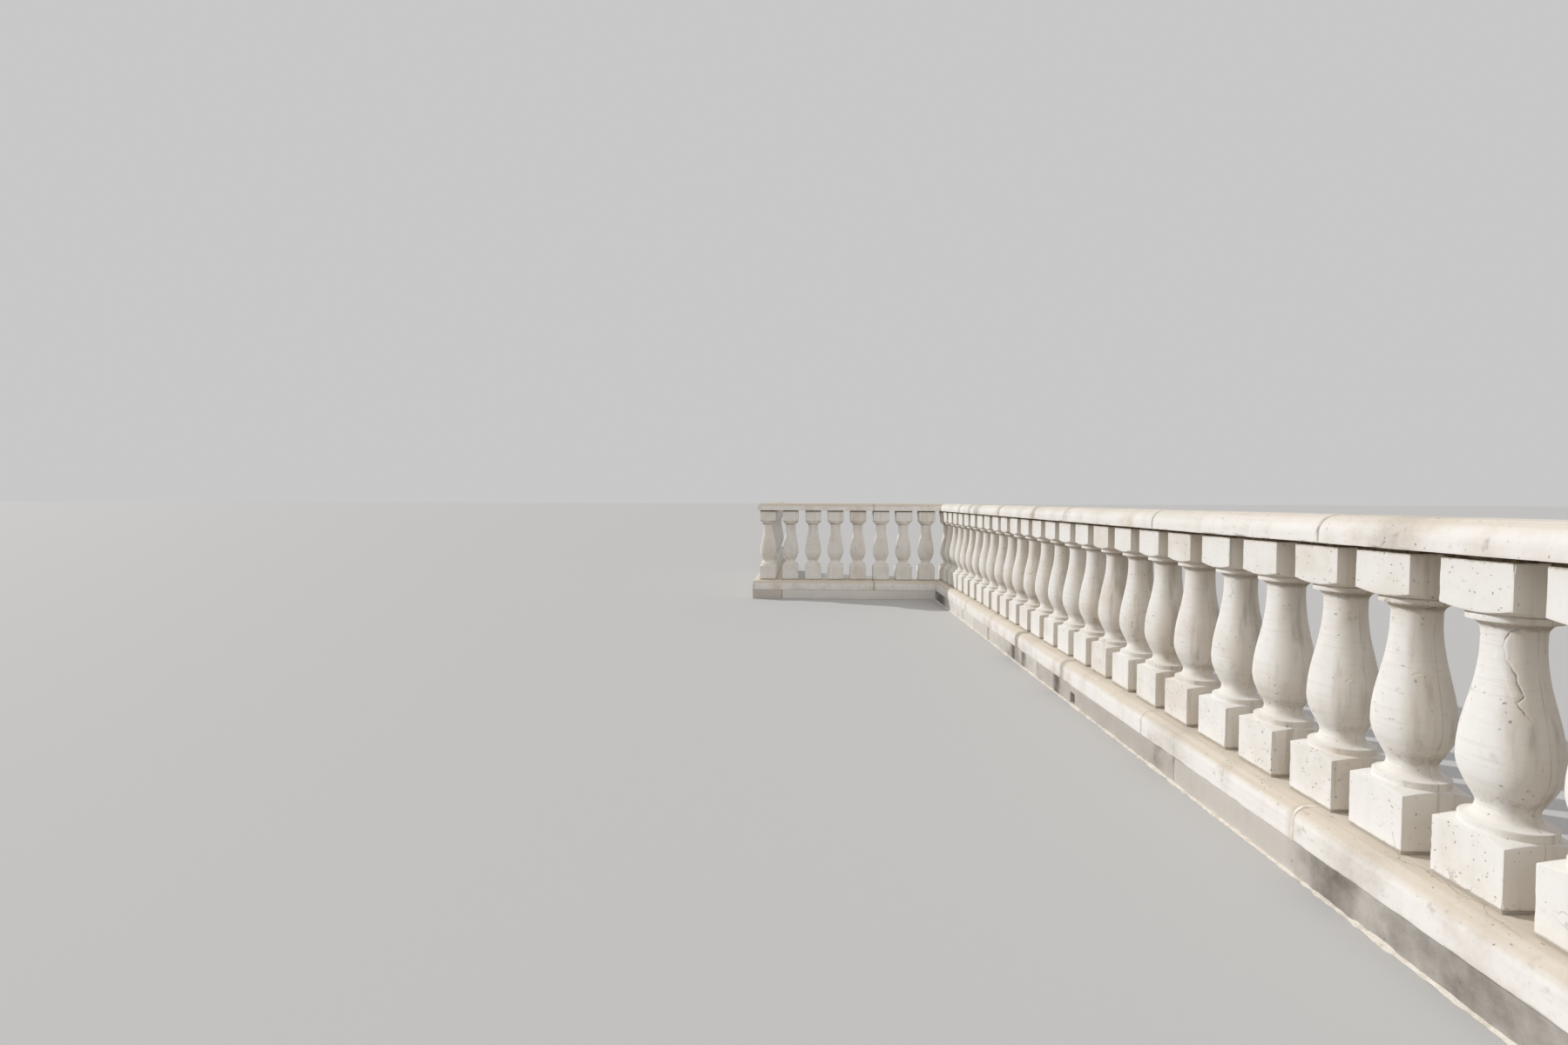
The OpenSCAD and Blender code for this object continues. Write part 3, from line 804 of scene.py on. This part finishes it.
def shaft_outline(fine):
    """Radius and height of the turned part. fine is 1 for far balusters and more for near."""
    foot, neck, belly = FOOT_RADIUS, NECK_RADIUS, BELLY_RADIUS
    points = [(0, -0.010), (foot, -0.010), (foot, 0.002), (foot, 0.009)]
    points += arc(0.079, 0.014, 0.005, 0.005, 0, 90, 2 + fine)
    points += arc(0.079, FLARE_HEIGHT, 0.0245, 0.028, -90, -180, 5 + 2 * fine)[1:]
    points += curve((neck, FLARE_HEIGHT), (neck, 0.0629),
                    (belly, 0.10318), (belly, BELLY_HEIGHT), 7 * fine)
    points += curve((belly, BELLY_HEIGHT), (belly, 0.25272),
                    (neck, 0.31366), (neck, NECK_HEIGHT), 11 * fine)
    points += arc(0.0795, 0.445, 0.025, 0.026, 180, 90, 5 + 2 * fine)
    points += [(0.0804, 0.4713), (0.081, 0.473), (0.081, 0.4835), (0.0804, 0.4855),
               (0.079, 0.486), (0.077, 0.4863), (0.077, SHAFT_TOP), (0, SHAFT_TOP)]
    return points


def shaft_radius(height):
    """The radius at a height above the plinth."""
    outline = shaft_outline(2)
    for (r0, z0), (r1, z1) in zip(outline, outline[1:]):
        if z0 <= height < z1:
            return r0 + (r1 - r0) * (height - z0) / (z1 - z0)


print("belly", shaft_radius(BELLY_HEIGHT) * 2, "m wide, neck", shaft_radius(NECK_HEIGHT) * 2)

# %% [markdown]
# The blocks above and below belong to the same casting. Their faces towards the shaft were
# turned with it, so they are low cones: each side of a block ends in an arc, and the corners
# are lowest. A cube gets its vertical edges worn round, is cut into a grid, and the vertices
# of that face are dropped onto the cone.

# %% Blocks and shaft
FACE_DROP = 0.013    # how much lower the corners of the turned faces lie
FACE_SLOPE = FACE_DROP / (BLOCK / math.sqrt(2) - FOOT_RADIUS)
BLOCK_ARRIS = 0.0035
BED_RECESS = 0.004
BED_FOOT, BED_TOP = -0.001, 0.009    # a millimetre into the stones on either side


def block(height, spacing):
    """A block that stands on the ground with its turned face up."""
    half = BLOCK / 2
    bm = box_between((-half, -half, 0), (half, half, height))
    upright = [e for e in bm.edges if abs(e.verts[0].co.z - e.verts[1].co.z) > 0.01]
    soften(bm, upright, BLOCK_ARRIS)
    for axis in range(3):
        slice_up(bm, axis, spacing)
    for v in bm.verts:
        fall = max(0.0, math.hypot(v.co.x, v.co.y) - FOOT_RADIUS) * FACE_SLOPE
        v.co.z -= fall * max(0.0, v.co.z / height) ** 3
    soften(bm, sharp_edges(bm, 0.9), ARRIS)
    return bm


def shaft(fine, steps):
    bm = bmesh.new()
    verts = [bm.verts.new((r, 0, z)) for r, z in shaft_outline(fine)]
    edges = [bm.edges.new(pair) for pair in zip(verts, verts[1:])]
    bmesh.ops.spin(bm, geom=verts + edges, cent=(0, 0, 0), axis=(0, 0, 1),
                   angle=2 * math.pi, steps=steps, use_merge=True)
    bmesh.ops.remove_doubles(bm, verts=bm.verts, dist=0.00005)
    bmesh.ops.recalc_face_normals(bm, faces=bm.faces)
    return bm


def bed(spacing):
    """A bed of mortar, raked back behind the faces of the block."""
    side = BLOCK / 2 - BED_RECESS
    bm = box_between((-side, -side, BED_FOOT), (side, side, BED_TOP))
    for axis, gap in ((0, spacing), (1, spacing), (2, 0.004)):
        slice_up(bm, axis, gap)
    return bm


def baluster_pattern(fine, steps, spacing):
    """The whole casting with its two beds, standing at its place above the ground."""
    bm = bmesh.new()
    join(bm, block(SHAFT_FOOT - PLINTH_FOOT, spacing), Matrix.Translation((0, 0, PLINTH_FOOT)))
    join(bm, shaft(fine, steps), Matrix.Translation((0, 0, SHAFT_FOOT)))
    join(bm, block(ABACUS_TOP - SHAFT_HEAD, spacing),
         Matrix.Translation((0, 0, ABACUS_TOP)) @ Matrix.Scale(-1, 4, (0, 0, 1)))
    for level in (SILL_TOP, ABACUS_TOP):
        join(bm, bed(spacing * 2), Matrix.Translation((0, 0, level)), 1)
    return bm


# How fine the outline is, how many steps go round, and the grid of the blocks in metres.
PATTERNS = {"near": baluster_pattern(3, 96, 0.0085),
            "middle": baluster_pattern(2, 52, 0.014),
            "far": baluster_pattern(1, 40, 0.022)}
for name, pattern in PATTERNS.items():
    print(name, "baluster", sum(len(f.verts) - 2 for f in pattern.faces), "triangles")

# %% [markdown]
# ## Cracks, gouges and a nub
# The nearest balusters carry damage that can be seen: a long forked crack, a few gouges, the
# raised line of a mould and a nub of cement. Each is a path on the turned surface, given by
# the angle from the run's direction and the height above the plinth. The mesh is cut finer
# along it, and a value is kept on its vertices: up to 1 where it is deepest, and below 0 where
# it stands proud. The weather then sinks or lifts them, and the finish darkens the deep ones
# with dirt and painted shade.

# %% Damage
noise.seed_set(3)    # without a seed, noise_vector would differ from run to run
# Half width in metres, strength, and the path in degrees and metres. What has a negative
# strength stands proud.
DAMAGE = {
    25: [(0.0028, 0.9, [(53.1, 0.4473), (58.7, 0.434), (60.0, 0.414), (55.7, 0.3902),
                        (41.9, 0.3636), (35.0, 0.3337), (28.3, 0.310), (35.2, 0.3004),
                        (39.4, 0.2985), (33.3, 0.2872), (27.3, 0.2746), (20.6, 0.2616)]),
         (0.0090, -0.38, [(66.0, 0.440), (70.0, 0.412), (66.0, 0.388), (52.0, 0.360),
                          (46.0, 0.335), (40.0, 0.312)]),
         (0.0030, 0.55, [(20.6, 0.2616), (15.5, 0.2376), (13.0, 0.2059), (10.9, 0.1735),
                         (9.2, 0.1349)]),
         (0.0024, 0.8, [(11.6, 0.4888), (23.8, 0.4813), (26.4, 0.4667), (39.1, 0.4568),
                        (49.5, 0.4503)])],
    24: [(0.0030, 0.8, [(24.9, 0.4615), (5.8, 0.4666)]),
         (0.0026, 0.5, [(42.9, 0.2899), (36.0, 0.2945), (29.1, 0.2969)]),
         (0.0016, 0.5, [(17.6, 0.2321), (21.2, 0.1653), (22.4, 0.105), (20.8, 0.0642)])],
    23: [(0.0034, 0.7, [(33.8, 0.2147), (25.3, 0.2227)]),
         (0.0016, 0.5, [(30.0, 0.2200), (20.0, 0.1900), (16.0, 0.1650)]),
         (0.0060, -2.7, [(121.0, 0.1160), (123.0, 0.1130)])],
}


def on_shaft(angle, height):
    """The place on the turned surface at an angle and a height."""
    r, turn = shaft_radius(height), math.radians(angle)
    return Vector((r * math.cos(turn), -r * math.sin(turn), SHAFT_FOOT + height))


def distance_to(path, p):
    best = 1.0
    for a, b in zip(path, path[1:]):
        share = min(1, max(0, (p - a).dot(b - a) / (b - a).length_squared))
        best = min(best, (a.lerp(b, share) - p).length)
    return best


def score(bm, half_width, strength, places):
    """Cut the mesh finer along a path, and keep on its vertices how deep the damage is."""
    path = [on_shaft(*place) for place in places]
    crack = bm.verts.layers.float.get("crack") or bm.verts.layers.float.new("crack")
    low = min(p.z for p in path) - 0.02
    high = max(p.z for p in path) + 0.02
    for reach in (0.012, 0.007):
        near = {v for v in bm.verts if low < v.co.z < high and distance_to(path, v.co) < reach}
        edges = [e for e in bm.edges if near.intersection(e.verts)]
        bmesh.ops.subdivide_edges(bm, edges=edges, cuts=1, use_grid_fill=True)
    for v in bm.verts:
        if low < v.co.z < high:
            jagged = v.co + 0.0026 * noise.noise_vector(v.co * 75)
            fade = min(1, max(0.25, 0.75 + 1.3 * noise.noise(v.co * 30)))
            slope = 1.0 if strength > 0 else 1.6
            depth = min(1, max(0, 1 - distance_to(path, jagged) / half_width) * slope)
            depth *= strength * fade
            v[crack] = depth if abs(depth) > abs(v[crack]) else v[crack]


print("damaged balusters:", sorted(DAMAGE))

# %% [markdown]
# ## Setting the balusters
# Every baluster came from the same mould, but they weren't cast or set alike. Some stand a few
# millimetres low or out of line, and those nearest the camera were measured. The rest get
# small moves from a fixed seed. A stone's mesh is moved, not its object, so the material's
# coordinates stay true.

# %% Balusters
GROUPS = {
    "long": [(0, 6), (7, 9), (10, 12), (13, 15), (16, 19), (20, 23), (24, 26)],
    "return": [(1, 3), (4, 8)],
    "back": [(1, 4), (5, 8), (9, 11)],
}
# Measured on the nearest, in mm: the whole along and across the run, the shaft along and
# across it, and how much lower its foot and its head are. Last comes its fullness.
MEASURED = {
    21: (0, 0, 3.6, 6.0, 1, 1, 1.000), 22: (0, 0, 1.9, 2.9, 1, 1, 1.002),
    23: (7, 0, 1.8, 2.4, 1, 1, 0.990), 24: (-5, 0, 2.9, 3.4, 1, 1, 0.985),
    25: (0, 0, 1.5, 1.6, 8, 4.5, 1.014), 26: (-2, -8, 0, 0, -3, 3, 1.000),
}
HAIR = 0.0001    # metres that tell the shaft from the faces of the blocks
FACE_BAND = 0.02    # the height of a block that moves up and down with its turned face
# How much the faces turned from the lamp are painted with shade and grime on each run.
GRIME_AND_SHADE = {"long": 0.8, "return": 0.3, "back": 0.2}
# Dirt on the flare, and painted shade with some dirt under the head disc: the height above the
# plinth and the half width of each.
FLARE_DIRT, HEAD_SHADE_AND_DIRT = (0.068, 0.022), (0.462, 0.011)


def reshape(bm, along, across, foot_drop, head_drop, fullness):
    """Move the shaft in its mould, and lower it with the faces of the blocks that it meets."""
    for v in bm.verts:
        z = v.co.z
        if SHAFT_FOOT < z - HAIR and z < SHAFT_HEAD - HAIR:
            v.co.x = v.co.x * fullness + along
            v.co.y = v.co.y * fullness + across
        share = min(1, max(0, (z - PLINTH_FOOT) / (SHAFT_FOOT - FACE_BAND - PLINTH_FOOT)))
        share = min(share, max(0, (ABACUS_TOP - z) / (ABACUS_TOP - SHAFT_HEAD - FACE_BAND)))
        rise = min(1, max(0, (z - SHAFT_FOOT) / (SHAFT_HEAD - SHAFT_FOOT)))
        v.co.z -= (foot_drop + (head_drop - foot_drop) * rise) * share


def place_baluster(target, run, i):
    """Add baluster i of a run, counted from the turn, to the target mesh."""
    fineness = grade(run, i * SPACING)
    chance = random.Random(f"{run}{i}")
    moves = [chance.uniform(-3, 3), chance.uniform(-1.5, 1.5), chance.uniform(-2, 2),
             chance.uniform(-2, 2), chance.uniform(-2, 3), chance.uniform(-1, 2),
             chance.uniform(0.985, 1.005)]
    if run == "long":
        moves = MEASURED.get(i, moves)
    slide, offset, along, across, foot_drop, head_drop = (m / 1000 for m in moves[:6])
    bm = PATTERNS[fineness].copy()
    for damage in DAMAGE.get(i, ()) if run == "long" else ():
        score(bm, *damage)
    mark(bm, chance.uniform(-1, 1), GRIME_AND_SHADE[run])
    # Painted shade with dirt: the bed under the coping is dark, the bed at the foot half as
    # dark.
    tell_mortar(bm, lambda v: -1.0 if v.co.z > SHAFT_HEAD else -0.1)
    stain_and_shade = bm.verts.layers.float["stain_and_shade"]
    dirty = chance.uniform(0.2, 0.6)
    for v in bm.verts:
        above_sill, under_coping = v.co.z - PLINTH_FOOT, ABACUS_TOP - v.co.z
        flare = bell(v.co.z - SHAFT_FOOT, *FLARE_DIRT)
        head_shade_and_dirt = bell(v.co.z - SHAFT_FOOT, *HEAD_SHADE_AND_DIRT)
        shade_and_grime_weight = 0.5 + v.co.x / 0.15
        # Painted shade with dirt in bands at the foot and under the coping, where its shadow
        # falls; dirt on the flare; painted shade with some dirt under the head disc.
        v[stain_and_shade] = max(0.55 - above_sill / 0.014, 0.75 - under_coping / 0.012,
                       dirty * flare * shade_and_grime_weight, 0.75 * head_shade_and_dirt * shade_and_grime_weight, 0)
    reshape(bm, along, across, foot_drop, head_drop, moves[6])
    weather(bm, chance.random() * 60, sway=0.0010, chips=CHIP_DEPTH[fineness], crumble=0.0022)
    turn = Matrix.Rotation(math.radians(chance.uniform(-0.6, 0.6)), 4, "Z")
    bm.transform(RUNS[run] @ Matrix.Translation((i * SPACING + slide, offset, 0)) @ turn)
    add(target, bm)
    bm.free()


for run, groups in GROUPS.items():
    for number, (first, last) in enumerate(groups, 1):
        group = bmesh.new()
        for i in range(first, last + 1):
            place_baluster(group, run, i)
        name = f"balusters_{run}_{number}"
        total = finish_piece(f"{name}_cast", group, [CAST_BALUSTER, MORTAR], name)
        print(name, last - first + 1, "balusters,", total, "triangles")

# %% [markdown]
# ## Floor and surroundings
# The object stands on a plain pale floor that takes its shadow. The camera sees a pale floor
# and backdrop, while the stone is lit by a dimmer fill from above and a greyer floor below,
# as on paving. Light Path's ray types tell the two apart.

# %% Floor and world
def seen_or_lit(tree, lit, seen):
    """A colour that differs for rays from the camera, glossy and transmission rays."""
    paths = tree.nodes.new("ShaderNodeLightPath")
    total = paths.outputs["Is Camera Ray"]
    for name in ("Is Glossy Ray", "Is Transmission Ray"):
        step = tree.nodes.new("ShaderNodeMath")
        step.operation, step.use_clamp = "ADD", True
        tree.links.new(total, step.inputs[0])
        tree.links.new(paths.outputs[name], step.inputs[1])
        total = step.outputs[0]
    mix = tree.nodes.new("ShaderNodeMix")
    mix.data_type = "RGBA"
    mix.inputs[6].default_value, mix.inputs[7].default_value = lit, seen
    tree.links.new(total, mix.inputs[0])
    return mix.outputs[2]


floor_bm = bmesh.new()
bmesh.ops.create_grid(floor_bm, x_segments=1, y_segments=1, size=FAR_AWAY)
floor_mesh = bpy.data.meshes.new("floor")
floor_bm.to_mesh(floor_mesh)
floor_bm.free()
floor = bpy.data.objects.new("floor", floor_mesh)
bpy.context.scene.collection.objects.link(floor)
floor_material = bpy.data.materials.new("pale_floor")
floor_material.use_nodes = True
floor_shader = floor_material.node_tree.nodes["Principled BSDF"]
floor_colour = seen_or_lit(floor_material.node_tree, rgb(156, 150, 142), rgb(209, 208, 206))
floor_material.node_tree.links.new(floor_colour, floor_shader.inputs["Base Color"])
floor_shader.inputs["Roughness"].default_value = 0.9
floor_shader.inputs["Specular IOR Level"].default_value = 0.1
floor_mesh.materials.append(floor_material)

FILL, BACKDROP = (0.47, 0.47, 0.48, 1), (0.58, 0.58, 0.58, 1)
world = bpy.data.worlds.new("surroundings")
world.use_nodes = True
bpy.context.scene.world = world
world.node_tree.links.new(seen_or_lit(world.node_tree, FILL, BACKDROP),
                          world.node_tree.nodes["Background"].inputs["Color"])
